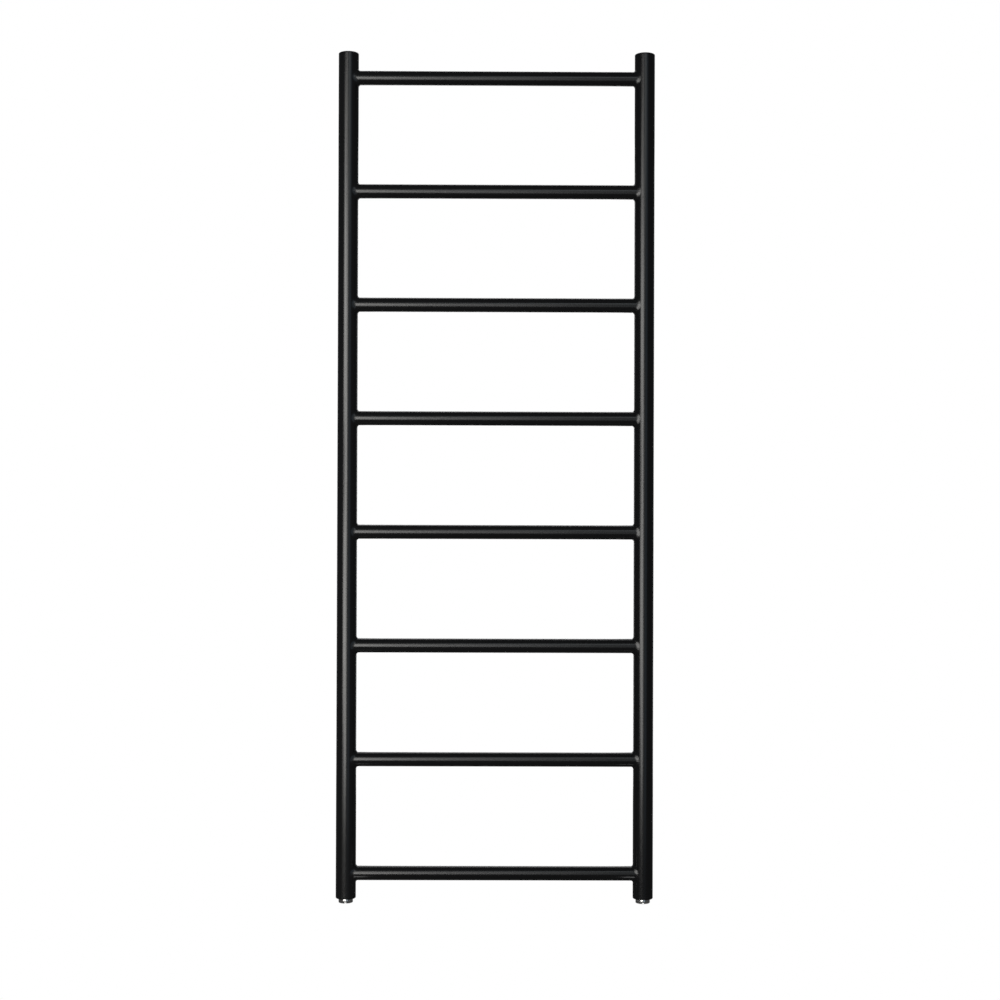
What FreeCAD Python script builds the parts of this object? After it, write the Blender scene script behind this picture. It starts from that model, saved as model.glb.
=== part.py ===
"""Wall-hung ladder towel warmer: two upright posts, eight rungs, four concealed wall brackets and two air vents.

Frame: millimetres, +Z up, +Y into the wall, -Y towards the room, +X to the right seen from the room.
The origin is the centre of the four wall fixings, on the wall's surface.
"""

import FreeCAD, Part
import math
import operator
import os
from types import SimpleNamespace

import Sketcher

RUNG_COUNT = 8
SIDES = {"left": -1, "right": 1}
LEVELS = {"upper": 1, "lower": -1}

# name, size in millimetres, what it measures
DIMENSIONS = [
    ("overall_width", 600.0, "outside of one post to the outside of the other"),
    ("overall_height", 1600.0, "post height, end discs included"),
    ("post_dia", 38.0, "outside diameter of a post"),
    ("post_wall", 1.5, "wall of a post"),
    ("rung_dia", 26.9, "outside diameter of a rung"),
    ("rung_wall", 1.2, "wall of a rung"),
    ("rung_pitch", 215.0, "height from one rung's axis to the next"),
    ("rung_forward", 2.0, "how far the rungs' axes stand in front of the posts' axes"),
    ("rung_weld", 4.0, "radius of a rung's weld bead, in the corner it fills"),
    ("branch_weld", 2.5, "radius of a bracket sleeve's or a vent boss's weld bead"),
    ("cap_depth", 3.0, "thickness of a post's end disc"),
    ("cap_round", 2.0, "radius on the rim of an end disc"),
    ("socket_dia", 27.0, "outside diameter of a pipe socket"),
    ("socket_bore", 18.6, "bore of a pipe socket, inside its thread"),
    ("socket_length", 16.0, "length of a pipe socket"),
    ("socket_reach", 8.0, "how far a pipe socket stands out of its post"),
    ("socket_bevel", 0.8, "bevels at the mouth of a pipe socket"),
    ("wall_distance", 60.0, "wall surface to the axes of the posts"),
    ("bracket_height", 645.0, "centre of the rack to a bracket's axis"),
    ("sleeve_dia", 22.0, "outside diameter of a bracket sleeve and of a spigot's foot"),
    ("sleeve_play", 0.1, "sleeve bore less spigot diameter"),
    ("sleeve_gap", 1.0, "foot of a spigot to the end of its sleeve"),
    ("spigot_dia", 14.0, "diameter of a spigot's shank"),
    ("spigot_length", 30.0, "wall surface to the end of a spigot"),
    ("spigot_foot", 2.0, "thickness of a spigot's foot"),
    ("spigot_bevel", 1.0, "bevel on the end of a spigot"),
    ("fixing_bore", 5.5, "hole for a wall screw"),
    ("fixing_sink", 11.0, "diameter of that hole's countersink"),
    ("grub_dia", 5.0, "grub screw diameter"),
    ("grub_length", 3.6, "grub screw length"),
    ("grub_bevel", 0.5, "bevel at a grub screw's tip"),
    ("grub_key", 2.5, "across the flats of a grub screw's socket"),
    ("grub_key_depth", 1.8, "depth of that socket"),
    ("grub_setback", 12.0, "wall surface to a grub screw's axis"),
    ("screw_play", 0.1, "tapped hole less screw diameter"),
    ("vent_drop", 18.0, "top of a post to a vent's axis"),
    ("vent_boss_dia", 16.0, "outside diameter of a vent's boss"),
    ("vent_boss_reach", 5.0, "how far a vent's boss stands out of its post"),
    ("vent_dia", 8.5, "diameter of a vent's threaded shank"),
    ("vent_shank", 8.0, "length of that shank"),
    ("vent_hex", 13.0, "across the flats of a vent's head"),
    ("vent_head", 6.0, "thickness of that head"),
    ("vent_bevel", 1.2, "height of the bevel round the outer end of that head"),
    ("vent_bevel_in", 1.6, "how far in from the corners that bevel reaches"),
    ("vent_throat", 2.5, "air passage through a vent's shank"),
    ("vent_seat", 3.5, "length of that passage"),
    ("vent_outlet", 1.8, "side hole that lets the air out"),
    ("vent_outlet_rise", 3.0, "underside of a vent's head to its side hole"),
    ("seal_dia", 12.6, "outside diameter of a vent's seal"),
    ("seal_depth", 1.0, "thickness of a vent's seal"),
    ("bleed_dia", 5.0, "bleed screw diameter"),
    ("bleed_tip", 2.0, "flat on the tip of a bleed screw"),
    ("bleed_tip_gap", 0.3, "tip of a bleed screw to its seat"),
    ("bleed_head_dia", 9.0, "bleed screw head diameter"),
    ("bleed_head", 2.5, "thickness of that head"),
    ("bleed_head_gap", 0.5, "vent's head to the underside of the bleed screw's head"),
    ("bleed_head_bevel", 0.5, "bevel on the head of a bleed screw"),
    ("bleed_slot", 1.2, "width of a bleed screw's slot"),
    ("bleed_slot_depth", 1.4, "depth of that slot"),
]

CUT_SPARE = 1.0
STUB_DIAMETERS = 3
MIN_CUT_VOLUME = 1.0
POINT_TOLERANCE = 1e-3
EDGE_SAMPLES = 7
ROOT_3 = math.sqrt(3)

OPERATIONS = {"+": operator.add, "-": operator.sub, "*": operator.mul, "/": operator.truediv}


class Size:
    """A number of millimetres, with the spreadsheet expression that gives it."""

    def __init__(self, value, expression):
        self.value = value
        self.expression = expression

    def __add__(self, other):
        return combine(self, "+", other)

    def __sub__(self, other):
        return combine(self, "-", other)

    def __mul__(self, other):
        return combine(self, "*", other)

    def __rmul__(self, other):
        return combine(other, "*", self)

    def __truediv__(self, other):
        return combine(self, "/", other)

    def __neg__(self):
        return combine(-1, "*", self)


def as_size(number):
    """The number as a Size, which a plain number becomes by standing for itself."""
    return number if isinstance(number, Size) else Size(number, str(number))


def combine(left, sign, right):
    """The Size that two numbers give under one of the four operations."""
    left, right = as_size(left), as_size(right)
    value = OPERATIONS[sign](left.value, right.value)
    return Size(value, f"({left.expression} {sign} {right.expression})")


dim = SimpleNamespace(**{name: Size(value, f"Dimensions.{name}") for name, value, _ in DIMENSIONS})

POST_X = (dim.overall_width - dim.post_dia) / 2
TOP_RUNG_Z = dim.rung_pitch * (RUNG_COUNT - 1) / 2
RUNG_BORE = dim.rung_dia - 2 * dim.rung_wall
RUNG_Y = -dim.wall_distance - dim.rung_forward
SLEEVE_END = dim.spigot_foot + dim.sleeve_gap
VENT_Z = dim.overall_height / 2 - dim.vent_drop
VENT_FACE = dim.wall_distance - dim.post_dia / 2 - dim.vent_boss_reach
VENT_BORE = dim.vent_dia + dim.screw_play

doc = FreeCAD.newDocument("TowelWarmer")


def make_sheet():
    """The spreadsheet that holds every driving dimension."""
    sheet = doc.addObject("Spreadsheet::Sheet", "Dimensions")
    for row, (name, value, meaning) in enumerate(DIMENSIONS, start=1):
        sheet.set(f"A{row}", meaning)
        sheet.set(f"B{row}", str(value))
        sheet.setAlias(f"B{row}", name)
    doc.recompute()


def bind(thing, name, size):
    """Ties one of an object's values to the sheet."""
    thing.setExpression(name, as_size(size).expression)


def new_body(label):
    """An empty body, whose label names its file."""
    body = doc.addObject("PartDesign::Body", label)
    body.Label = label
    return body


def origin_feature(body, role):
    """One of the body's own planes or axes."""
    return next(feature for feature in body.Origin.OriginFeatures if feature.Role == role)


def new_sketch(body, name, plane, lift=0):
    """An empty sketch on a plane of the body, lifted along that plane's normal."""
    sketch = body.newObject("Sketcher::SketchObject", f"{body.Name}_{name}")
    sketch.AttachmentSupport = [(origin_feature(body, plane), "")]
    sketch.MapMode = "FlatFace"
    bind(sketch, "AttachmentOffset.Base.z", lift)
    return sketch


def hold_point(sketch, geometry, point, across, up):
    """Holds a point of the sketch at two signed distances from its origin. A plain 0 puts it on the axis."""
    for kind, distance, axis in (("DistanceX", across, -2), ("DistanceY", up, -1)):
        if not isinstance(distance, Size):
            sketch.addConstraint(Sketcher.Constraint("PointOnObject", geometry, point, axis))
            continue
        constraint = Sketcher.Constraint(kind, -1, 1, geometry, point, distance.value)
        bind(sketch, f"Constraints[{sketch.addConstraint(constraint)}]", distance)


def add_circle(sketch, diameter, across=0, up=0):
    """A circle of that diameter about a point of the sketch."""
    centre = FreeCAD.Vector(as_size(across).value, as_size(up).value, 0)
    curve = Part.Circle(centre, FreeCAD.Vector(0, 0, 1), diameter.value / 2)
    circle = sketch.addGeometry(curve, False)
    constraint = Sketcher.Constraint("Diameter", circle, diameter.value)
    bind(sketch, f"Constraints[{sketch.addConstraint(constraint)}]", diameter)
    hold_point(sketch, circle, 3, across, up)


def add_polygon(sketch, corners):
    """A closed polygon through corners given as pairs of distances from the sketch's origin."""
    points = [FreeCAD.Vector(as_size(across).value, as_size(up).value, 0) for across, up in corners]
    ends = points[1:] + points[:1]
    lines = [sketch.addGeometry(Part.LineSegment(a, b), False) for a, b in zip(points, ends)]
    for line, following in zip(lines, lines[1:] + lines[:1]):
        sketch.addConstraint(Sketcher.Constraint("Coincident", line, 2, following, 1))
    for line, (across, up) in zip(lines, corners):
        hold_point(sketch, line, 1, across, up)


def add_hexagon(sketch, flats):
    """A regular hexagon about the sketch's origin, with two flats level."""
    corner, half_side, rise = flats / ROOT_3, flats / ROOT_3 / 2, flats / 2
    upper = [(corner, 0), (half_side, rise), (-half_side, rise)]
    lower = [(-corner, 0), (-half_side, -rise), (half_side, -rise)]
    add_polygon(sketch, upper + lower)


def settled_volume(body):
    """The body's volume once the document is up to date."""
    doc.recompute()
    return body.Shape.Volume


def check_cut(body, feature, before):
    """Stops the build if a feature that should cut took nothing away."""
    if before - settled_volume(body) < MIN_CUT_VOLUME:
        raise ValueError(f"{feature.Name} cuts nothing")


def pad(body, sketch, length, both_ways=False, reverse=False):
    """Adds material from a sketch along its normal, or half of it each way."""
    feature = body.newObject("PartDesign::Pad", f"{sketch.Name}_pad")
    feature.Profile = sketch
    feature.Midplane = both_ways
    feature.Reversed = reverse
    bind(feature, "Length", length)


def pocket(body, sketch, length, both_ways=False, reverse=False):
    """Cuts a sketch out of the body against its normal, or half of the length each way."""
    before = settled_volume(body)
    feature = body.newObject("PartDesign::Pocket", f"{sketch.Name}_pocket")
    feature.Profile = sketch
    feature.Midplane = both_ways
    feature.Reversed = reverse
    bind(feature, "Length", length)
    check_cut(body, feature, before)
    return feature


def turn_about_axis(body, sketch, kind="Revolution"):
    """Turns a half section, drawn on the XZ plane, about the body's Z axis: a Revolution adds, a Groove cuts."""
    before = settled_volume(body) if kind == "Groove" else 0
    feature = body.newObject(f"PartDesign::{kind}", f"{sketch.Name}_turned")
    feature.Profile = sketch
    feature.ReferenceAxis = (sketch, ["V_Axis"])
    feature.Angle = 360
    if kind == "Groove":
        check_cut(body, feature, before)


def fillet(body, radius, is_wanted):
    """Rounds those edges of the body's newest feature that the test picks."""
    doc.recompute()
    base = body.Tip
    edges = [f"Edge{i}" for i, edge in enumerate(base.Shape.Edges, start=1) if is_wanted(edge)]
    if not edges:
        raise ValueError(f"{body.Label} has no edge to round")
    feature = body.newObject("PartDesign::Fillet", f"{base.Name}_fillet")
    feature.Base = (base, edges)
    bind(feature, "Radius", radius)
    doc.recompute()


def rim_test(height, radius):
    """Picks the round edge of that radius at that height."""

    def is_wanted(edge):
        if not isinstance(edge.Curve, Part.Circle):
            return False
        size_error = abs(edge.Curve.Radius - radius.value)
        height_error = abs(edge.Curve.Center.z - height.value)
        return max(size_error, height_error) < POINT_TOLERANCE

    return is_wanted


def saddle_test(bar_diameter, bar_axis, post_places):
    """Picks the curves where a round bar along X or Y through the body's origin meets the posts."""

    def is_on_both(point):
        beside_bar = {"X": point.y, "Y": point.x}[bar_axis]
        if abs(math.hypot(beside_bar, point.z) - bar_diameter.value / 2) > POINT_TOLERANCE:
            return False
        from_posts = [math.hypot(point.x - x, point.y - y) for x, y in post_places]
        return any(abs(away - dim.post_dia.value / 2) < POINT_TOLERANCE for away in from_posts)

    def is_wanted(edge):
        if isinstance(edge.Curve, (Part.Circle, Part.Line)):
            return False
        return all(is_on_both(point) for point in edge.discretize(EDGE_SAMPLES))

    return is_wanted


def place(body, across, depth, height, rotation=None):
    """Puts a body at its X, Y and Z in the rack."""
    if rotation is not None:
        body.Placement = FreeCAD.Placement(FreeCAD.Vector(0, 0, 0), rotation)
    for letter, distance in zip("xyz", (across, depth, height)):
        bind(body, f"Placement.Base.{letter}", distance)


def about_x(degrees):
    """A rotation about the X axis."""
    return FreeCAD.Rotation(FreeCAD.Vector(1, 0, 0), degrees)


def weld_onto_posts(body, diameter, weld, bar_axis, post_centres):
    """Gives a round bar its weld bead where it meets each post, then copes it to the post's surface."""
    stub_length = diameter * STUB_DIAMETERS
    posts = new_sketch(body, "posts", "XY_Plane")
    for across, up in post_centres:
        add_circle(posts, dim.post_dia, across, up)
    pad(body, posts, stub_length, both_ways=True)
    places = [(as_size(across).value, as_size(up).value) for across, up in post_centres]
    fillet(body, weld, saddle_test(diameter, bar_axis, places))
    cope = new_sketch(body, "cope", "XY_Plane")
    for across, up in post_centres:
        add_circle(cope, dim.post_dia, across, up)
    pocket(body, cope, stub_length + dim.post_dia, both_ways=True)


def make_post(side, sign):
    """An upright tube with a water hole for each rung on its inner side and an air hole at the back."""
    body = new_body(f"{side}_post")
    section = new_sketch(body, "section", "XY_Plane")
    add_circle(section, dim.post_dia)
    add_circle(section, dim.post_dia - 2 * dim.post_wall)
    pad(body, section, dim.overall_height - 2 * dim.cap_depth, both_ways=True)

    water = new_sketch(body, "water", "YZ_Plane")
    add_circle(water, RUNG_BORE, across=-dim.rung_forward, up=-TOP_RUNG_Z)
    lowest_hole = pocket(body, water, dim.post_dia / 2 + CUT_SPARE, reverse=sign < 0)
    row = body.newObject("PartDesign::LinearPattern", f"{body.Name}_water_row")
    row.Originals = [lowest_hole]
    row.Direction = (origin_feature(body, "Z_Axis"), [""])
    row.Occurrences = RUNG_COUNT
    bind(row, "Length", dim.rung_pitch * (RUNG_COUNT - 1))
    body.Tip = row

    air = new_sketch(body, "air", "XZ_Plane")
    add_circle(air, VENT_BORE, up=VENT_Z)
    pocket(body, air, dim.post_dia / 2 + CUT_SPARE)
    place(body, sign * POST_X, -dim.wall_distance, 0)
    return body


def make_rung(number):
    """A horizontal tube between the posts. Rung 1 is the top one."""
    body = new_body(f"rung_{number}")
    bar = new_sketch(body, "bar", "YZ_Plane")
    add_circle(bar, dim.rung_dia)
    pad(body, bar, 2 * POST_X, both_ways=True)
    post_centres = [(sign * POST_X, dim.rung_forward) for sign in SIDES.values()]
    weld_onto_posts(body, dim.rung_dia, dim.rung_weld, "X", post_centres)
    bore = new_sketch(body, "bore", "YZ_Plane")
    add_circle(bore, RUNG_BORE)
    pocket(body, bore, dim.overall_width, both_ways=True)
    place(body, 0, RUNG_Y, TOP_RUNG_Z - dim.rung_pitch * (number - 1))
    return body


def make_end_disc(label, sign, is_top):
    """The disc that closes a post, with its rim ground round. The lower one has a hole for the pipe socket."""
    body = new_body(label)
    section = new_sketch(body, "section", "XY_Plane")
    add_circle(section, dim.post_dia)
    if not is_top:
        add_circle(section, dim.socket_dia)
    pad(body, section, dim.cap_depth)
    fillet(body, dim.cap_round, rim_test(dim.cap_depth, dim.post_dia / 2))
    inner_face = dim.overall_height / 2 - dim.cap_depth
    if is_top:
        place(body, sign * POST_X, -dim.wall_distance, inner_face)
    else:
        place(body, sign * POST_X, -dim.wall_distance, -inner_face, about_x(180))
    return body


def make_port_socket(side, sign):
    """The pipe socket in the foot of a post, mouth down. Its plain bore is at the size inside the thread."""
    body = new_body(f"{side}_port_socket")
    outer, inner, bevel = dim.socket_dia / 2, dim.socket_bore / 2, dim.socket_bevel
    section = new_sketch(body, "section", "XZ_Plane")
    add_polygon(
        section,
        [
            (inner + bevel, 0),
            (outer - bevel, 0),
            (outer, bevel),
            (outer, dim.socket_length),
            (inner, dim.socket_length),
            (inner, bevel),
        ],
    )
    turn_about_axis(body, section)
    mouth = -(dim.overall_height / 2 + dim.socket_reach)
    place(body, sign * POST_X, -dim.wall_distance, mouth)
    return body


def make_sleeve(label, sign, level):
    """The bracket tube on the back of a post, with a tapped hole from below for its grub screw."""
    body = new_body(label)
    bar = new_sketch(body, "bar", "XZ_Plane", SLEEVE_END)
    add_circle(bar, dim.sleeve_dia)
    pad(body, bar, dim.wall_distance - SLEEVE_END)
    weld_onto_posts(body, dim.sleeve_dia, dim.branch_weld, "Y", [(0, -dim.wall_distance)])
    bore = new_sketch(body, "bore", "XZ_Plane")
    add_circle(bore, dim.spigot_dia + dim.sleeve_play)
    pocket(body, bore, dim.wall_distance, reverse=True)
    tapped = new_sketch(body, "tapped", "XY_Plane")
    add_circle(tapped, dim.grub_dia + dim.screw_play, up=-dim.grub_setback)
    pocket(body, tapped, dim.sleeve_dia)
    place(body, sign * POST_X, 0, level * dim.bracket_height)
    return body


def make_grub_screw(label, sign, level):
    """A headless screw with a hexagon socket, tip up. The tip stops just short of the spigot."""
    body = new_body(label)
    radius = dim.grub_dia / 2
    section = new_sketch(body, "section", "XZ_Plane")
    add_polygon(
        section,
        [
            (0, 0),
            (radius, 0),
            (radius, dim.grub_length - dim.grub_bevel),
            (radius - dim.grub_bevel, dim.grub_length),
            (0, dim.grub_length),
        ],
    )
    turn_about_axis(body, section)
    key = new_sketch(body, "key", "XY_Plane")
    add_hexagon(key, dim.grub_key)
    pocket(body, key, dim.grub_key_depth, reverse=True)
    outer_end = level * dim.bracket_height - dim.sleeve_dia / 2
    place(body, sign * POST_X, -dim.grub_setback, outer_end)
    return body


def make_wall_spigot(label, sign, level):
    """A turned peg that one countersunk screw holds to the wall. The sleeve slides on it."""
    body = new_body(label)
    shank, bore, sink = dim.spigot_dia / 2, dim.fixing_bore / 2, dim.fixing_sink / 2
    section = new_sketch(body, "section", "XZ_Plane")
    add_polygon(
        section,
        [
            (bore, 0),
            (dim.sleeve_dia / 2, 0),
            (dim.sleeve_dia / 2, dim.spigot_foot),
            (shank, dim.spigot_foot),
            (shank, dim.spigot_length - dim.spigot_bevel),
            (shank - dim.spigot_bevel, dim.spigot_length),
            (sink, dim.spigot_length),
            (bore, dim.spigot_length - (sink - bore)),
        ],
    )
    turn_about_axis(body, section)
    place(body, sign * POST_X, 0, level * dim.bracket_height, about_x(90))
    return body


def make_vent_boss(side, sign):
    """The tapped boss on the back of a post, near its top."""
    body = new_body(f"{side}_vent_boss")
    bar = new_sketch(body, "bar", "XZ_Plane", VENT_FACE)
    add_circle(bar, dim.vent_boss_dia)
    pad(body, bar, dim.wall_distance - VENT_FACE)
    weld_onto_posts(body, dim.vent_boss_dia, dim.branch_weld, "Y", [(0, -dim.wall_distance)])
    bore = new_sketch(body, "bore", "XZ_Plane")
    add_circle(bore, VENT_BORE)
    pocket(body, bore, dim.wall_distance, reverse=True)
    place(body, sign * POST_X, 0, VENT_Z)
    return body


def place_on_vent(body, sign, rise):
    """Puts a body whose +Z points out of a vent at that rise above the face of the vent's boss."""
    place(body, sign * POST_X, rise - VENT_FACE, VENT_Z, about_x(-90))


def make_vent_seal(side, sign):
    """The flat ring between a vent and its boss."""
    body = new_body(f"{side}_vent_seal")
    section = new_sketch(body, "section", "XY_Plane")
    add_circle(section, dim.seal_dia)
    add_circle(section, VENT_BORE)
    pad(body, section, dim.seal_depth)
    place_on_vent(body, sign, as_size(0))
    return body


def make_vent_body(side, sign):
    """A hexagon-headed air vent: threaded shank, throat, tapped bore for the bleed screw and an outlet below."""
    body = new_body(f"{side}_vent_body")
    head = new_sketch(body, "head", "XY_Plane")
    add_hexagon(head, dim.vent_hex)
    pad(body, head, dim.vent_head)

    corner, bevel, bevel_in = dim.vent_hex / ROOT_3, dim.vent_bevel, dim.vent_bevel_in
    ring = new_sketch(body, "ring", "XZ_Plane")
    add_polygon(
        ring,
        [
            (corner - bevel_in, dim.vent_head),
            (corner, dim.vent_head - bevel),
            (corner + bevel, dim.vent_head - bevel),
            (corner + bevel, dim.vent_head + bevel),
            (corner - bevel_in, dim.vent_head + bevel),
        ],
    )
    turn_about_axis(body, ring, "Groove")

    shank = new_sketch(body, "shank", "XY_Plane")
    add_circle(shank, dim.vent_dia)
    pad(body, shank, dim.vent_shank, reverse=True)
    throat = new_sketch(body, "throat", "XY_Plane")
    add_circle(throat, dim.vent_throat)
    pocket(body, throat, dim.vent_shank + CUT_SPARE)
    tapped = new_sketch(body, "tapped", "XY_Plane", dim.vent_seat - dim.vent_shank)
    add_circle(tapped, dim.bleed_dia + dim.screw_play)
    pocket(body, tapped, dim.vent_shank + dim.vent_head, reverse=True)
    outlet = new_sketch(body, "outlet", "XZ_Plane")
    add_circle(outlet, dim.vent_outlet, up=dim.vent_outlet_rise)
    pocket(body, outlet, dim.vent_hex)
    place_on_vent(body, sign, dim.seal_depth)
    return body


def make_bleed_screw(side, sign):
    """The slotted screw that opens a vent. Its tip stops just short of the vent's seat."""
    body = new_body(f"{side}_bleed_screw")
    tip_depth = dim.vent_shank - dim.vent_seat - dim.bleed_tip_gap
    neck = tip_depth + dim.vent_head + dim.bleed_head_gap
    end = neck + dim.bleed_head
    radius, tip, head = dim.bleed_dia / 2, dim.bleed_tip / 2, dim.bleed_head_dia / 2
    section = new_sketch(body, "section", "XZ_Plane")
    add_polygon(
        section,
        [
            (0, 0),
            (tip, 0),
            (radius, radius - tip),
            (radius, neck),
            (head, neck),
            (head, end - dim.bleed_head_bevel),
            (head - dim.bleed_head_bevel, end),
            (0, end),
        ],
    )
    turn_about_axis(body, section)
    slot = new_sketch(body, "slot", "XY_Plane", end)
    reach, half = dim.bleed_head_dia, dim.bleed_slot / 2
    add_polygon(slot, [(-reach, -half), (reach, -half), (reach, half), (-reach, half)])
    pocket(body, slot, dim.bleed_slot_depth)
    place_on_vent(body, sign, dim.seal_depth - tip_depth)
    return body


def make_rack():
    """Every sub-part of the towel warmer."""
    bodies = [make_rung(number) for number in range(1, RUNG_COUNT + 1)]
    for side, sign in SIDES.items():
        bodies += [
            make_post(side, sign),
            make_end_disc(f"{side}_top_cap", sign, is_top=True),
            make_end_disc(f"{side}_bottom_ring", sign, is_top=False),
            make_port_socket(side, sign),
            make_vent_boss(side, sign),
            make_vent_seal(side, sign),
            make_vent_body(side, sign),
            make_bleed_screw(side, sign),
        ]
        for name, level in LEVELS.items():
            bodies += [
                make_sleeve(f"{name}_{side}_sleeve", sign, level),
                make_grub_screw(f"{name}_{side}_grub_screw", sign, level),
                make_wall_spigot(f"{name}_{side}_wall_spigot", sign, level),
            ]
    return bodies


def check_model(bodies):
    """Stops the build if any object failed or any sub-part isn't one sound solid."""
    doc.recompute()
    for thing in doc.Objects:
        if "Invalid" in thing.State or "Error" in thing.State:
            raise ValueError(f"{thing.Label} failed: {thing.State}")
    for body in bodies:
        shape = body.Shape
        if shape.isNull() or not shape.isValid() or len(shape.Solids) != 1:
            raise ValueError(f"{body.Label} isn't one valid solid")


make_sheet()
rack = make_rack()
check_model(rack)
os.makedirs("parts", exist_ok=True)
for body in rack:
    body.Shape.exportStep(f"parts/{body.Label}.step")
    print(f"{body.Label}: {body.Shape.Volume:.0f} mm3")
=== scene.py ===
"""Looks for the ladder towel warmer: meshes, materials, lights and camera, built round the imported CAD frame.

Metres, in the CAD's frame: +Z up, -Y towards the room, +Y into the wall. Small sizes are written in
millimetres and multiplied by MM.
"""

import math

import bmesh
import bpy
from mathutils import Matrix, Vector


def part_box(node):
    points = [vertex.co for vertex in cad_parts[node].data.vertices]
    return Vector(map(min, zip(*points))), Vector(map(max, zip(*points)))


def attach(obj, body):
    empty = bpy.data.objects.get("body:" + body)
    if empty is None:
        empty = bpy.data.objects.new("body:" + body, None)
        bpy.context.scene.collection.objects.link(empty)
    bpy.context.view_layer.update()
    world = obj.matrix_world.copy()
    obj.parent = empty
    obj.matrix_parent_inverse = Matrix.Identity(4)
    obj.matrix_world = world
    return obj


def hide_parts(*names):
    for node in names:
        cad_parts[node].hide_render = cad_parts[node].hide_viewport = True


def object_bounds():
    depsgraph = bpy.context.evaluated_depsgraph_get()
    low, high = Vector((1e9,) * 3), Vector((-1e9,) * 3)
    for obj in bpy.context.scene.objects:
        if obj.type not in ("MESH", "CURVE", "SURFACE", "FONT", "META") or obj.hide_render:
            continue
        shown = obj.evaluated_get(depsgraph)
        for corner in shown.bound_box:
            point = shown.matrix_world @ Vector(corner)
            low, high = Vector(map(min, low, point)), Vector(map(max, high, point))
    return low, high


MM = 0.001
SIDES = ("left", "right")
LEVELS = ("upper", "lower")
RUNGS = [f"rung_{number}" for number in range(1, 9)]

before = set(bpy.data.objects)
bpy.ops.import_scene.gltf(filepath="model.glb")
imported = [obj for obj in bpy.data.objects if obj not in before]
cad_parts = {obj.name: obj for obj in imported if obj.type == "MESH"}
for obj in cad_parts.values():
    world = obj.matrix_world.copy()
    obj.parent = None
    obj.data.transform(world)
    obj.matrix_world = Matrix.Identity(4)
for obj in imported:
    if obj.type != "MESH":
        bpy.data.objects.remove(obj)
cad_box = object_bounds()


# ---------------------------------------------------------------- places and sizes, from the frame


def middle(node):
    """Centre of a CAD node's box."""
    low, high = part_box(node)
    return (low + high) / 2


POST_R = (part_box("left_post")[1].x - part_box("left_post")[0].x) / 2
POST_WALL = 1.5 * MM
POST_X = middle("right_post").x
POST_Y = middle("right_post").y
RUNG_R = 13.45 * MM
RUNG_BORE_R = 12.25 * MM
SLEEVE_R = 11.0 * MM
SLEEVE_BORE_R = 7.05 * MM
BOSS_R = 8.0 * MM
BOSS_BORE_R = 4.3 * MM
SMALL_SCREW_PITCH = 0.8 * MM

# The rungs' axes run in front of the posts' axes.
RUNG_SHIFT = -2.0 * MM

# How much of a branch its weld covers. A rung's covers more in front and behind.
RUNG_WELD = 4.5 * MM
RUNG_WELD_FRONT = 6.5 * MM
BRANCH_WELD = 3.0 * MM
WELD_RIPPLE = 0.05 * MM
RIPPLES = 40

EDGE_EASE = 0.15 * MM
CAP_RIM = 2.0 * MM
TUBE_SEGMENTS = 160
BRANCH_SEGMENTS = 96

# Edges sharper than this, in degrees, are not smoothed.
SHARP_ANGLE = 35


# ---------------------------------------------------------------- mesh helpers


def finish_mesh(name, mesh, material, node, body="rack", sharp=SHARP_ANGLE):
    """Makes an object of a bmesh, smooth except at edges sharper than that angle, and hands it over."""
    bmesh.ops.remove_doubles(mesh, verts=mesh.verts, dist=1e-7)
    bmesh.ops.dissolve_degenerate(mesh, dist=1e-8, edges=mesh.edges)
    bmesh.ops.recalc_face_normals(mesh, faces=mesh.faces)
    data = bpy.data.meshes.new(name)
    mesh.to_mesh(data)
    mesh.free()
    data.shade_smooth()
    data.set_sharp_from_angle(angle=math.radians(sharp))
    data.materials.append(material)
    piece = bpy.data.objects.new(name, data)
    bpy.context.scene.collection.objects.link(piece)
    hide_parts(node)
    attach(piece, body)
    return piece


def skin(rings):
    """A closed surface over rings of points. Each ring closes on itself, and so does the row of rings."""
    mesh = bmesh.new()
    verts = [[mesh.verts.new(point) for point in ring] for ring in rings]
    for ring, following in zip(verts, verts[1:] + verts[:1]):
        for i in range(len(ring)):
            j = (i + 1) % len(ring)
            mesh.faces.new((ring[i], ring[j], following[j], following[i]))
    return mesh


def turned(profile_at, segments):
    """A solid turned about Z. profile_at(angle) gives its closed section, as (radius, height) points."""
    rings = []
    for step in range(segments):
        angle = 2 * math.pi * step / segments
        c, s = math.cos(angle), math.sin(angle)
        rings.append([Vector((r * c, r * s, z)) for r, z in profile_at(angle)])
    return skin(rings)


def arc(r, z, radius, start, end, steps):
    """Points of a round corner about (r, z), from one angle to another in degrees."""
    angles = [math.radians(start + (end - start) * i / steps) for i in range(steps + 1)]
    return [(r + radius * math.cos(a), z + radius * math.sin(a)) for a in angles]


def thread(angle, radius, depth, pitch, start, end, per_turn=10):
    """Section points of a stretch of helical thread, that deep from its radius. Its ends fade out."""
    steps = max(2, round(abs(end - start) / pitch * per_turn))
    points = []
    for i in range(steps + 1):
        z = start + (end - start) * i / steps
        fade = min(1, min(i, steps - i) / per_turn)
        wave = 0.5 - 0.5 * math.cos(2 * math.pi * z / pitch - angle)
        points.append((radius + depth * wave * fade, z))
    return points


def hexagon(angle, flats):
    """Distance from a hexagon's centre to its outline, with a corner at angle 0."""
    sixth = math.pi / 3
    return flats / 2 / math.cos((angle % sixth) - sixth / 2)


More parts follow.
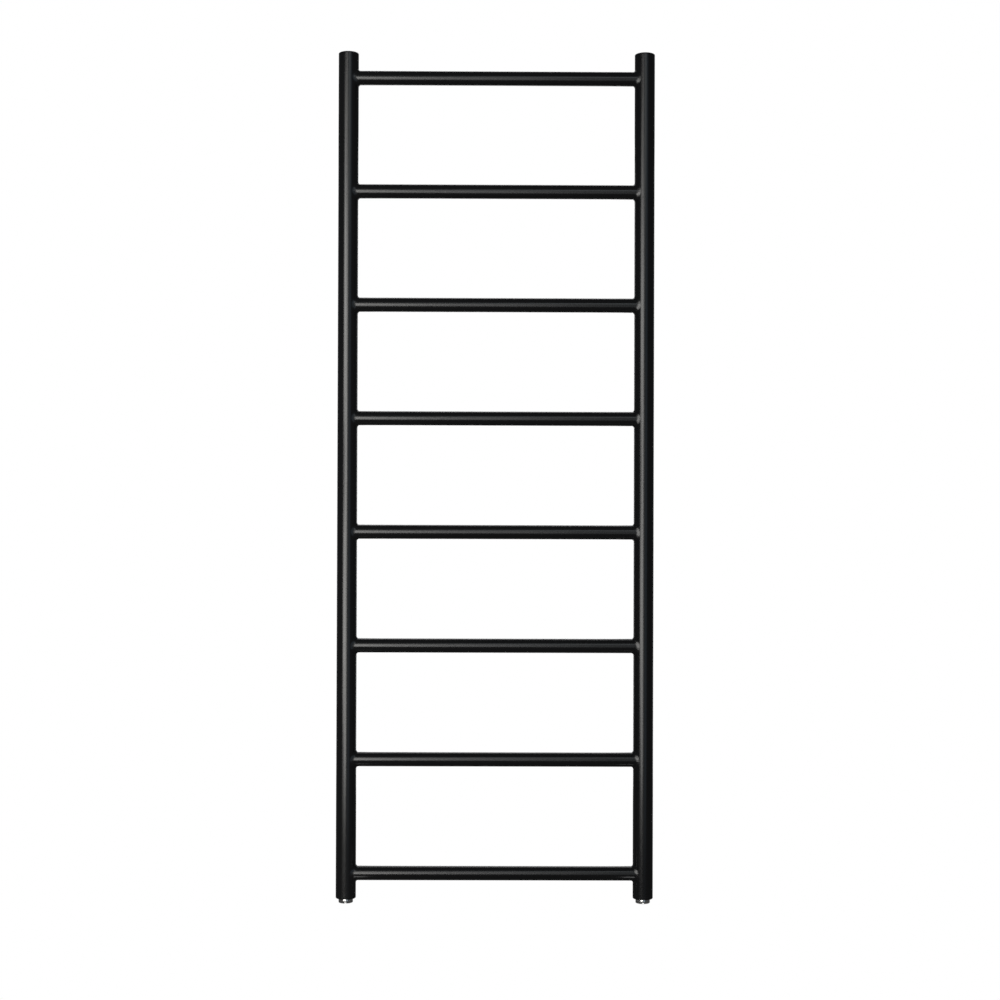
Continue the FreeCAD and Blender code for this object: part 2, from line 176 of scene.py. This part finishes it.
def move(mesh, place, axis="Z"):
    """Turns a mesh's +Z to the named axis and moves its origin to a place."""
    turns = {
        "Z": Matrix.Identity(4),
        "-Z": Matrix.Rotation(math.pi, 4, "X"),
        "Y": Matrix.Rotation(-math.pi / 2, 4, "X"),
        "-Y": Matrix.Rotation(math.pi / 2, 4, "X"),
    }
    mesh.transform(Matrix.Translation(place) @ turns[axis])
    return mesh


def cut(piece, cutter_mesh):
    """Cuts a bmesh's solid out of a piece."""
    bmesh.ops.recalc_face_normals(cutter_mesh, faces=cutter_mesh.faces)
    data = bpy.data.meshes.new("cutter")
    cutter_mesh.to_mesh(data)
    cutter_mesh.free()
    cutter = bpy.data.objects.new("cutter", data)
    bpy.context.scene.collection.objects.link(cutter)
    modifier = piece.modifiers.new("cut", "BOOLEAN")
    modifier.operation = "DIFFERENCE"
    modifier.solver = "EXACT"
    modifier.object = cutter
    bpy.context.view_layer.update()
    evaluated = piece.evaluated_get(bpy.context.evaluated_depsgraph_get())
    result = bpy.data.meshes.new_from_object(evaluated)
    piece.modifiers.clear()
    old = piece.data
    piece.data = result
    bpy.data.meshes.remove(old)
    bpy.data.objects.remove(cutter)
    result.shade_smooth()
    result.set_sharp_from_angle(angle=math.radians(SHARP_ANGLE))
    return piece


# ---------------------------------------------------------------- welded branches: rungs, sleeves and bosses


def weld_arc(angle, radius, shift, side_leg, front_leg, steps=10):
    """The weld where a round branch meets its post, at one angle round the branch.

    Its points are (out, across, up) from the post's axis. They start on the post, follow a ball rolled
    along the corner, and end on the branch. side_leg is how much of the branch the weld covers above and
    below it, and front_leg how much in front and behind, where the corner is more open. shift is how far
    across from the post's axis the branch's axis runs.
    """
    c, s = math.cos(angle), math.sin(angle)
    leg = side_leg + (front_leg - side_leg) * c**2
    opening = math.acos(c * (shift + radius * c) / POST_R)
    ball = leg / math.tan(opening / 2)
    across, up = shift + (radius + ball) * c, (radius + ball) * s
    centre = Vector((math.sqrt((POST_R + ball) ** 2 - across**2), across, up))
    on_post = Vector((-centre.x, -centre.y, 0)).normalized()
    on_branch = Vector((0, -c, -s))
    ripple = WELD_RIPPLE * math.cos(RIPPLES * angle)
    points = []
    for i in range(steps + 1):
        share = i / steps
        spoke = on_post.slerp(on_branch, share)
        points.append(centre + spoke * (ball + ripple * math.sin(math.pi * share)))
    return points


def coped_face(angle, bore, shift, rim, steps=3):
    """Points on the post's surface from the rim of the branch's weld in to the branch's bore."""
    edge = Vector((0, shift + bore * math.cos(angle), bore * math.sin(angle)))
    points = []
    for i in range(1, steps + 1):
        spot = rim.lerp(edge, i / steps)
        points.append(Vector((math.sqrt(POST_R**2 - spot.y**2), spot.y, spot.z)))
    return points


def make_rung(node):
    """A horizontal tube, coped and welded to both posts."""
    height = middle(node).z
    rings = []
    for step in range(TUBE_SEGMENTS):
        angle = 2 * math.pi * step / TUBE_SEGMENTS
        weld = weld_arc(angle, RUNG_R, RUNG_SHIFT, RUNG_WELD, RUNG_WELD_FRONT)
        cope = coped_face(angle, RUNG_BORE_R, RUNG_SHIFT, weld[0])
        half = list(reversed(cope)) + weld
        left = [Vector((-POST_X + p.x, POST_Y + p.y, height + p.z)) for p in half]
        right = [Vector((POST_X - p.x, POST_Y + p.y, height + p.z)) for p in reversed(half)]
        rings.append(left + right)
    return finish_mesh(f"{node}_tube", skin(rings), POWDER_COAT, node)


def branch_rings(radius, bore, mouth, bevel):
    """Rings of a branch on the back of a post, as (out, across, up) from the post's axis."""
    rings = []
    for step in range(BRANCH_SEGMENTS):
        angle = 2 * math.pi * step / BRANCH_SEGMENTS
        c, s = math.cos(angle), math.sin(angle)
        weld = weld_arc(angle, radius, 0, BRANCH_WELD, BRANCH_WELD)
        rim = arc(mouth - bevel, radius - bevel, bevel, 90, 0, 3)
        lip = arc(mouth - bevel / 2, bore + bevel / 2, bevel / 2, 0, -90, 2)
        tube = [Vector((out, r * c, r * s)) for out, r in rim + lip]
        rings.append(weld + tube + list(reversed(coped_face(angle, bore, 0, weld[0]))))
    return rings


def make_branch(node, name, radius, bore, bevel):
    """A tube or boss welded to the back of a post, open towards the wall."""
    x, z = math.copysign(POST_X, middle(node).x), middle(node).z
    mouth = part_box(node)[1].y - POST_Y
    rings = branch_rings(radius, bore, mouth, bevel)
    placed = [[Vector((x + p.y, POST_Y + p.x, z + p.z)) for p in ring] for ring in rings]
    return finish_mesh(name, skin(placed), POWDER_COAT, node)


# ---------------------------------------------------------------- materials


# Where most of a noise's values lie.
NOISE_LOW, NOISE_HIGH = 0.3, 0.7


def new_material(name, color, roughness, metallic=0.0):
    """A node material, and its main nodes."""
    material = bpy.data.materials.new(name)
    material.use_nodes = True
    nodes, links = material.node_tree.nodes, material.node_tree.links
    shader = nodes["Principled BSDF"]
    shader.inputs["Base Color"].default_value = (*color, 1)
    shader.inputs["Roughness"].default_value = roughness
    shader.inputs["Metallic"].default_value = metallic
    return material, nodes, links, shader


def add_noise(nodes, links, scale, detail, stretch=(1, 1, 1)):
    """Noise that is fixed to the piece. Returns the noise node."""
    place = nodes.new("ShaderNodeTexCoord")
    mapping = nodes.new("ShaderNodeMapping")
    mapping.inputs["Scale"].default_value = stretch
    noise = nodes.new("ShaderNodeTexNoise")
    noise.inputs["Scale"].default_value = scale
    noise.inputs["Detail"].default_value = detail
    links.new(place.outputs["Object"], mapping.inputs["Vector"])
    links.new(mapping.outputs["Vector"], noise.inputs["Vector"])
    return noise


def vary(nodes, links, noise, socket, low, high):
    """Drives a socket between two values with a noise."""
    spread = nodes.new("ShaderNodeMapRange")
    spread.inputs["From Min"].default_value = NOISE_LOW
    spread.inputs["From Max"].default_value = NOISE_HIGH
    spread.inputs["To Min"].default_value = low
    spread.inputs["To Max"].default_value = high
    links.new(noise.outputs["Fac"], spread.inputs["Value"])
    links.new(spread.outputs["Result"], socket)


def add_bump(nodes, links, noise, shader, depth):
    """Bumps a shader's normal with a noise of that depth in metres."""
    bump = nodes.new("ShaderNodeBump")
    bump.inputs["Distance"].default_value = depth
    bump.inputs["Strength"].default_value = 1.0
    links.new(noise.outputs["Fac"], bump.inputs["Height"])
    links.new(bump.outputs["Normal"], shader.inputs["Normal"])


def make_powder_coat():
    """Satin black powder coat with a fine orange peel."""
    material, nodes, links, shader = new_material("powder_coat", (0.006, 0.006, 0.0065), 0.2)
    shader.inputs["IOR"].default_value = 1.5
    peel = add_noise(nodes, links, scale=700, detail=1.5)
    add_bump(nodes, links, peel, shader, depth=0.0015 * MM)
    patches = add_noise(nodes, links, scale=9, detail=3)
    vary(nodes, links, patches, shader.inputs["Roughness"], 0.18, 0.22)
    return material


def make_polished_steel():
    """Turned and polished bare steel, with faint rings from the lathe."""
    material, nodes, links, shader = new_material("polished_steel", (0.80, 0.80, 0.79), 0.12, 1.0)
    rings = add_noise(nodes, links, scale=60, detail=3, stretch=(0.2, 0.2, 60))
    add_bump(nodes, links, rings, shader, depth=0.004 * MM)
    smears = add_noise(nodes, links, scale=120, detail=3)
    vary(nodes, links, smears, shader.inputs["Roughness"], 0.08, 0.18)
    return material


def make_plated(name, color, low, high):
    """A bright plated or oiled metal whose gloss varies a little."""
    material, nodes, links, shader = new_material(name, color, (low + high) / 2, 1.0)
    cloud = add_noise(nodes, links, scale=250, detail=4)
    vary(nodes, links, cloud, shader.inputs["Roughness"], low, high)
    grain = add_noise(nodes, links, scale=1500, detail=2)
    add_bump(nodes, links, grain, shader, depth=0.002 * MM)
    return material


def make_rubber():
    """Matt black seal rubber."""
    material, nodes, links, shader = new_material("seal_rubber", (0.015, 0.015, 0.015), 0.6)
    grain = add_noise(nodes, links, scale=2500, detail=3)
    add_bump(nodes, links, grain, shader, depth=0.01 * MM)
    return material


POWDER_COAT = make_powder_coat()
POLISHED_STEEL = make_polished_steel()
ZINC_PLATE = make_plated("zinc_plate", (0.60, 0.62, 0.65), 0.25, 0.38)
BLACK_OXIDE = make_plated("black_oxide", (0.035, 0.035, 0.04), 0.30, 0.42)
NICKEL_PLATE = make_plated("nickel_plate", (0.66, 0.61, 0.54), 0.14, 0.24)
SEAL_RUBBER = make_rubber()


# ---------------------------------------------------------------- posts, end discs and pipe sockets


def make_post(side):
    """An upright tube, with its ends eased."""
    node = f"{side}_post"
    low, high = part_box(node)
    half = (high.z - low.z) / 2
    bore = POST_R - POST_WALL
    section = [(bore, -half), (POST_R - EDGE_EASE, -half), (POST_R, -half + EDGE_EASE)]
    section += [(POST_R, half - EDGE_EASE), (POST_R - EDGE_EASE, half), (bore, half)]
    mesh = move(turned(lambda angle: section, TUBE_SEGMENTS), middle(node))
    return finish_mesh(f"{node}_tube", mesh, POWDER_COAT, node)


def make_end_disc(node, hole, inner_face, axis):
    """A round-rimmed disc that closes a post's end. hole is its hole's radius, and axis points outwards."""
    low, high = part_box(node)
    depth = high.z - low.z
    section = [(hole, 0), (POST_R - EDGE_EASE, 0), (POST_R, EDGE_EASE)]
    section += arc(POST_R - CAP_RIM, depth - CAP_RIM, CAP_RIM, 0, 90, 10) + [(hole, depth)]
    place = (middle(node).x, POST_Y, inner_face)
    mesh = move(turned(lambda angle: section, TUBE_SEGMENTS), place, axis)
    return finish_mesh(f"{node}_disc", mesh, POWDER_COAT, node)


def make_top_cap(side):
    """The disc that closes a post's top."""
    node = f"{side}_top_cap"
    return make_end_disc(node, 0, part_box(node)[0].z, "Z")


def make_bottom_ring(side):
    """The ring that closes a post's foot round its pipe socket."""
    node = f"{side}_bottom_ring"
    low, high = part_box(f"{side}_port_socket")
    return make_end_disc(node, (high.x - low.x) / 2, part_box(node)[1].z, "-Z")


def make_port_socket(side):
    """The bright pipe socket under a post, with a real pipe thread inside."""
    node = f"{side}_port_socket"
    low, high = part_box(node)
    outer, length = (high.x - low.x) / 2, high.z - low.z
    inner, depth, pitch = 9.3 * MM, 1.16 * MM, 1.814 * MM
    bevel, lead, ease, run_out = 0.8 * MM, 1.3 * MM, 0.3 * MM, 1 * MM

    def section(angle):
        mouth = [(inner + lead, 0)] + arc(outer - bevel, bevel, bevel, -90, 0, 5)
        back = [(outer, length - ease), (outer - ease, length), (inner, length)]
        return mouth + back + thread(angle, inner, depth, pitch, length - run_out, lead)

    mesh = move(turned(section, segments=128), (middle(node).x, POST_Y, low.z))
    return finish_mesh(f"{node}_turned", mesh, POLISHED_STEEL, node, sharp=50)


# ---------------------------------------------------------------- wall brackets


def make_sleeve(level, side):
    """The bracket tube on the back of a post, with the tapped hole for its grub screw."""
    node = f"{level}_{side}_sleeve"
    sleeve = make_branch(node, f"{node}_tube", SLEEVE_R, SLEEVE_BORE_R, bevel=0.6 * MM)
    hole_r, depth, tapped_length, top = 2.55 * MM, 0.35 * MM, 3.4 * MM, 5 * MM
    mouth_r, below = hole_r + 0.6 * MM, -2 * MM

    def section(angle):
        tapped = thread(angle, hole_r, depth, SMALL_SCREW_PITCH, 0, tapped_length)
        return [(0, below), (mouth_r, below), (mouth_r, 0)] + tapped + [(hole_r, top), (0, top)]

    grub_y = middle(f"{level}_{side}_grub_screw").y
    place = (math.copysign(POST_X, middle(node).x), grub_y, middle(node).z - SLEEVE_R)
    return cut(sleeve, move(turned(section, segments=48), place))


def make_grub_screw(level, side):
    """A headless screw with a hexagon socket, seen from below."""
    node = f"{level}_{side}_grub_screw"
    low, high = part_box(node)
    radius, length = (high.x - low.x) / 2, high.z - low.z
    depth, bevel = -0.4 * MM, 0.35 * MM
    key, key_depth, drill_point, ease = 2.5 * MM, 1.8 * MM, 0.5 * MM, 0.2 * MM

    def section(angle):
        wall = hexagon(angle, key)
        socket = [(0, key_depth + drill_point), (wall, key_depth), (wall, ease)]
        socket += [(wall + ease, 0), (radius - bevel, 0)]
        outside = thread(angle, radius, depth, SMALL_SCREW_PITCH, bevel, length - bevel)
        return socket + outside + [(radius - bevel, length), (0, length)]

    mesh = move(turned(section, segments=48), (middle(node).x, middle(node).y, low.z))
    return finish_mesh(f"{node}_turned", mesh, BLACK_OXIDE, node)


def make_wall_spigot(level, side):
    """The turned peg on the wall, with its countersunk screw hole and a relief groove behind the shank."""
    node = f"{level}_{side}_wall_spigot"
    low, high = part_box(node)
    foot_r, length = (high.x - low.x) / 2, high.y - low.y
    shank, bore, sink = 7.0 * MM, 2.75 * MM, 5.5 * MM
    foot, bevel, ease, relief = 2 * MM, 1 * MM, 0.3 * MM, 0.4 * MM
    section = [(bore, 0), (foot_r - ease, 0)]
    section += arc(foot_r - ease, foot - ease, ease, 0, 90, 4)
    section += [(shank, foot), (shank - relief, foot + relief), (shank - relief, foot + 3 * relief)]
    section += [(shank, foot + 4 * relief), (shank, length - bevel), (shank - bevel, length)]
    section += [(sink, length), (bore, length - (sink - bore))]
    mesh = move(turned(lambda angle: section, segments=96), (middle(node).x, high.y, middle(node).z), "-Y")
    name = f"{node}_turned"
    return finish_mesh(name, mesh, ZINC_PLATE, node, body="wall_mounts")


# ---------------------------------------------------------------- air vents


def make_vent_seal(side):
    """The flat ring under a vent, with rounded edges."""
    node = f"{side}_vent_seal"
    low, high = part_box(node)
    outer, depth, inner, ease = (high.x - low.x) / 2, high.y - low.y, BOSS_BORE_R, 0.25 * MM
    section = arc(outer - ease, ease, ease, -90, 0, 4) + arc(outer - ease, depth - ease, ease, 0, 90, 4)
    section += [(inner, depth), (inner, 0)]
    mesh = move(turned(lambda angle: section, segments=64), (middle(node).x, low.y, middle(node).z), "Y")
    return finish_mesh(f"{node}_ring", mesh, SEAL_RUBBER, node)


def make_vent_body(side):
    """The hexagon-headed vent, with its bevelled corners, thread, throat and the outlet below."""
    node = f"{side}_vent_body"
    low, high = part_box(node)
    shank_r, shank, head, flats = 4.25 * MM, 8 * MM, 6 * MM, 13 * MM
    throat, seat, bore, cone, lead = 1.25 * MM, 3.5 * MM, 2.55 * MM, 0.9 * MM, 0.4 * MM
    depth, pitch, bevel, neck = -0.45 * MM, 0.9 * MM, 0.5 * MM, 0.4 * MM
    crown, washer_r, slope = 5.9 * MM, 6.4 * MM, math.tan(math.radians(27))

    def section(angle):
        wide = hexagon(angle, flats)
        outside = thread(angle, shank_r, depth, pitch, -shank + bevel, -neck, 8)
        outside = [(throat, -shank), (shank_r - bevel, -shank)] + outside
        outside += [(shank_r, 0), (washer_r, 0), (wide, (wide - washer_r) * slope)]
        outside += [(wide, head - (wide - crown) * slope), (crown, head)]
        inside = [(bore + lead, head), (bore, head - lead), (bore, -shank + seat)]
        return outside + inside + [(throat, -shank + seat - cone)]

    place = (middle(node).x, high.y - head, middle(node).z)
    mesh = move(turned(section, segments=96), place, "Y")
    vent = finish_mesh(f"{node}_turned", mesh, NICKEL_PLATE, node, sharp=25)
    outlet_r, straight, drill_length, flare, rise = 0.9 * MM, 4.6 * MM, 8 * MM, 0.5 * MM, 3 * MM
    drill = [(0, 0), (outlet_r, 0), (outlet_r, straight)]
    drill += [(outlet_r + flare, drill_length), (0, drill_length)]
    outlet = (place[0], place[1] + rise, place[2])
    return cut(vent, move(turned(lambda angle: drill, segments=32), outlet, "-Z"))


def make_bleed_screw(side):
    """The slotted screw in a vent, with its conical tip, thread and round head."""
    node = f"{side}_bleed_screw"
    low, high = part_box(node)
    length = high.y - low.y
    radius, tip, depth, plain = 2.5 * MM, 1 * MM, -0.4 * MM, 1 * MM
    head_r, head, bevel, ease = 4.5 * MM, 2.5 * MM, 0.5 * MM, 0.2 * MM
    neck = length - head

    def section(angle):
        shank = [(0, 0), (tip, 0)]
        shank += thread(angle, radius, depth, SMALL_SCREW_PITCH, radius - tip, neck - plain, 8)
        shank += [(radius, neck), (head_r - ease, neck), (head_r, neck + ease)]
        return shank + arc(head_r - bevel, length - bevel, bevel, 0, 90, 5) + [(0, length)]

    place = Vector((middle(node).x, low.y, middle(node).z))
    mesh = move(turned(section, segments=64), place, "Y")
    name = f"{node}_turned"
    screw = finish_mesh(name, mesh, NICKEL_PLATE, node, body=f"{side}_bleed")
    slot_length, slot_depth, slot_width = 12 * MM, 1.4 * MM, 1.2 * MM
    slot = bmesh.new()
    bmesh.ops.create_cube(slot, size=1)
    bmesh.ops.scale(slot, vec=(slot_length, 2 * slot_depth, slot_width), verts=slot.verts)
    bmesh.ops.translate(slot, vec=(place.x, high.y, place.z), verts=slot.verts)
    return cut(screw, slot)


for rung in RUNGS:
    make_rung(rung)
for side in SIDES:
    make_post(side)
    make_top_cap(side)
    make_bottom_ring(side)
    make_port_socket(side)
    make_branch(f"{side}_vent_boss", f"{side}_vent_boss_turned", BOSS_R, BOSS_BORE_R, bevel=0.5 * MM)
    make_vent_seal(side)
    make_vent_body(side)
    make_bleed_screw(side)
    for level in LEVELS:
        make_sleeve(level, side)
        make_grub_screw(level, side)
        make_wall_spigot(level, side)


# ---------------------------------------------------------------- studio


# Far enough below the rack for a camera to look up at it.
FLOOR_DROP = 2.2
FLOOR_HALF = 40

# How bright the floor and the world are in everything that mirrors them.
DIM = 0.06

# The angles are in degrees and the lens in millimetres.
CAMERA_PLACE = (-0.0086, -3.156, -0.0646)
CAMERA_PAN, CAMERA_TILT, CAMERA_ROLL = -0.316, 90.332, 0.182
CAMERA_LENS = 58.8

# The lights in front stand in this plane, square to the rack.
FRONT_Y = -3.0
WHITE = (1, 1, 1)
WARM = (1.0, 0.99, 0.96)
COOL = (0.9, 0.97, 1.0)
BLUE = (0.6, 0.8, 1.0)

# A grid in front of a key light keeps it off what stands further to the side than half this angle.
KEY_GRID = math.radians(100)

# Each has its name, its place across, the height of its middle, how wide and tall it is and how bright.
KEY_LIGHTS = (
    ("key", -2.1, -1.05, 1.5, 0.4, 0.7),
    ("key", -2.1, -0.45, 1.5, 0.8, 3.5),
    ("key", -2.1, 0.68, 1.5, 0.86, 3.6),
    ("key", -2.1, 1.35, 1.5, 0.5, 1.9),
    ("key_inner", -0.85, -0.05, 1.0, 2.1, 1.9),
    ("key_inner", -0.85, 1.35, 0.7, 0.7, 0.9),
)

# The same, and its colour.
FRONT_LIGHTS = (
    ("key_edge", -0.1, 0.05, 0.5, 2.2, 1.4, WHITE),
    ("front", 0.5, 0.2, 0.7, 3.0, 0.25, COOL),
    ("front_high", 0.5, 1.55, 1.3, 0.9, 1.1, COOL),
    ("fill", 1.5, 0.35, 1.3, 3.3, 0.35, BLUE),
)


def white_for_camera(tree, shader_kind, output_kind, color):
    """White where the camera looks straight at it, and a dim colour in everything that mirrors it."""
    nodes, links = tree.nodes, tree.links
    nodes.clear()
    seen, mirrored = nodes.new(shader_kind), nodes.new(shader_kind)
    seen.inputs["Color"].default_value = (*WHITE, 1)
    seen.inputs["Strength"].default_value = 1.0
    mirrored.inputs["Color"].default_value = (*color, 1)
    mirrored.inputs["Strength"].default_value = DIM
    path, mix = nodes.new("ShaderNodeLightPath"), nodes.new("ShaderNodeMixShader")
    output = nodes.new(output_kind)
    links.new(path.outputs["Is Camera Ray"], mix.inputs["Fac"])
    links.new(mirrored.outputs[0], mix.inputs[1])
    links.new(seen.outputs[0], mix.inputs[2])
    links.new(mix.outputs["Shader"], output.inputs["Surface"])


def make_floor():
    """A pale floor below the rack, which the black coat mirrors only dimly."""
    mesh = bmesh.new()
    bmesh.ops.create_grid(mesh, x_segments=1, y_segments=1, size=FLOOR_HALF)
    data = bpy.data.meshes.new("floor")
    mesh.to_mesh(data)
    mesh.free()
    floor = bpy.data.objects.new("floor", data)
    floor.location = (0, 0, cad_box[0][2] - FLOOR_DROP)
    bpy.context.scene.collection.objects.link(floor)
    material = bpy.data.materials.new("pale_floor")
    material.use_nodes = True
    white_for_camera(material.node_tree, "ShaderNodeEmission", "ShaderNodeOutputMaterial", WHITE)
    data.materials.append(material)


def make_world():
    """White behind the object for the camera, and a dim room for reflections."""
    world = bpy.data.worlds.new("studio")
    bpy.context.scene.world = world
    world.use_nodes = True
    room_color = (0.9, 0.95, 1)
    white_for_camera(world.node_tree, "ShaderNodeBackground", "ShaderNodeOutputWorld", room_color)


def add_softbox(name, place, aim, width, height, radiance, color):
    """A rectangular light whose face has that radiance, turned towards a point."""
    light = bpy.data.lights.new(name, "AREA")
    light.shape = "RECTANGLE"
    light.size, light.size_y = width, height
    light.energy = radiance * math.pi * width * height
    light.color = color
    lamp = bpy.data.objects.new(name, light)
    bpy.context.scene.collection.objects.link(lamp)
    lamp.location = place
    lamp.rotation_euler = (Vector(aim) - Vector(place)).to_track_quat("-Z", "Y").to_euler()
    lamp.visible_camera = False
    return lamp


def add_front_light(name, across, height, wide, tall, radiance, color):
    """A softbox in front of the rack and square to it."""
    place, aim = (across, FRONT_Y, height), (across, 0, height)
    return add_softbox(name, place, aim, wide, tall, radiance, color)


def make_lights():
    """The key's panes and softer lights in front, a small light for each pipe socket, and lights behind."""
    for light in KEY_LIGHTS:
        key = add_front_light(*light, WARM)
        key.data.spread = KEY_GRID
    for light in FRONT_LIGHTS:
        add_front_light(*light)
    for across in (-POST_X, POST_X):
        place, aim = (across, -0.16, -0.865), (across, -0.06, -0.84)
        add_softbox("socket_strip", place, aim, width=0.06, height=0.05, radiance=2.0, color=WHITE)
    for across, radiance in ((-1.6, 0.8), (0, 2.0), (1.6, 0.8)):
        place, aim = (across, 2.9, 0.1), (0, 0, 0.1)
        add_softbox("back", place, aim, width=0.9, height=2.4, radiance=radiance, color=WHITE)
    place, aim = (0, 2.2, 2.6), (0, -0.06, 0)
    add_softbox("back_high", place, aim, width=2.4, height=0.8, radiance=2.0, color=WHITE)


def add_camera():
    """The camera, just below the middle of the rack and square to it within half a degree."""
    data = bpy.data.cameras.new("camera")
    data.sensor_width = 36
    data.lens = CAMERA_LENS
    camera = bpy.data.objects.new("camera", data)
    bpy.context.scene.collection.objects.link(camera)
    pan = Matrix.Rotation(math.radians(CAMERA_PAN), 4, "Z")
    tilt = Matrix.Rotation(math.radians(CAMERA_TILT), 4, "X")
    roll = Matrix.Rotation(math.radians(CAMERA_ROLL), 4, "Z")
    camera.matrix_world = Matrix.Translation(CAMERA_PLACE) @ pan @ tilt @ roll
    bpy.context.scene.camera = camera


make_floor()
make_world()
make_lights()
add_camera()
bpy.context.scene.view_settings.view_transform = "Standard"
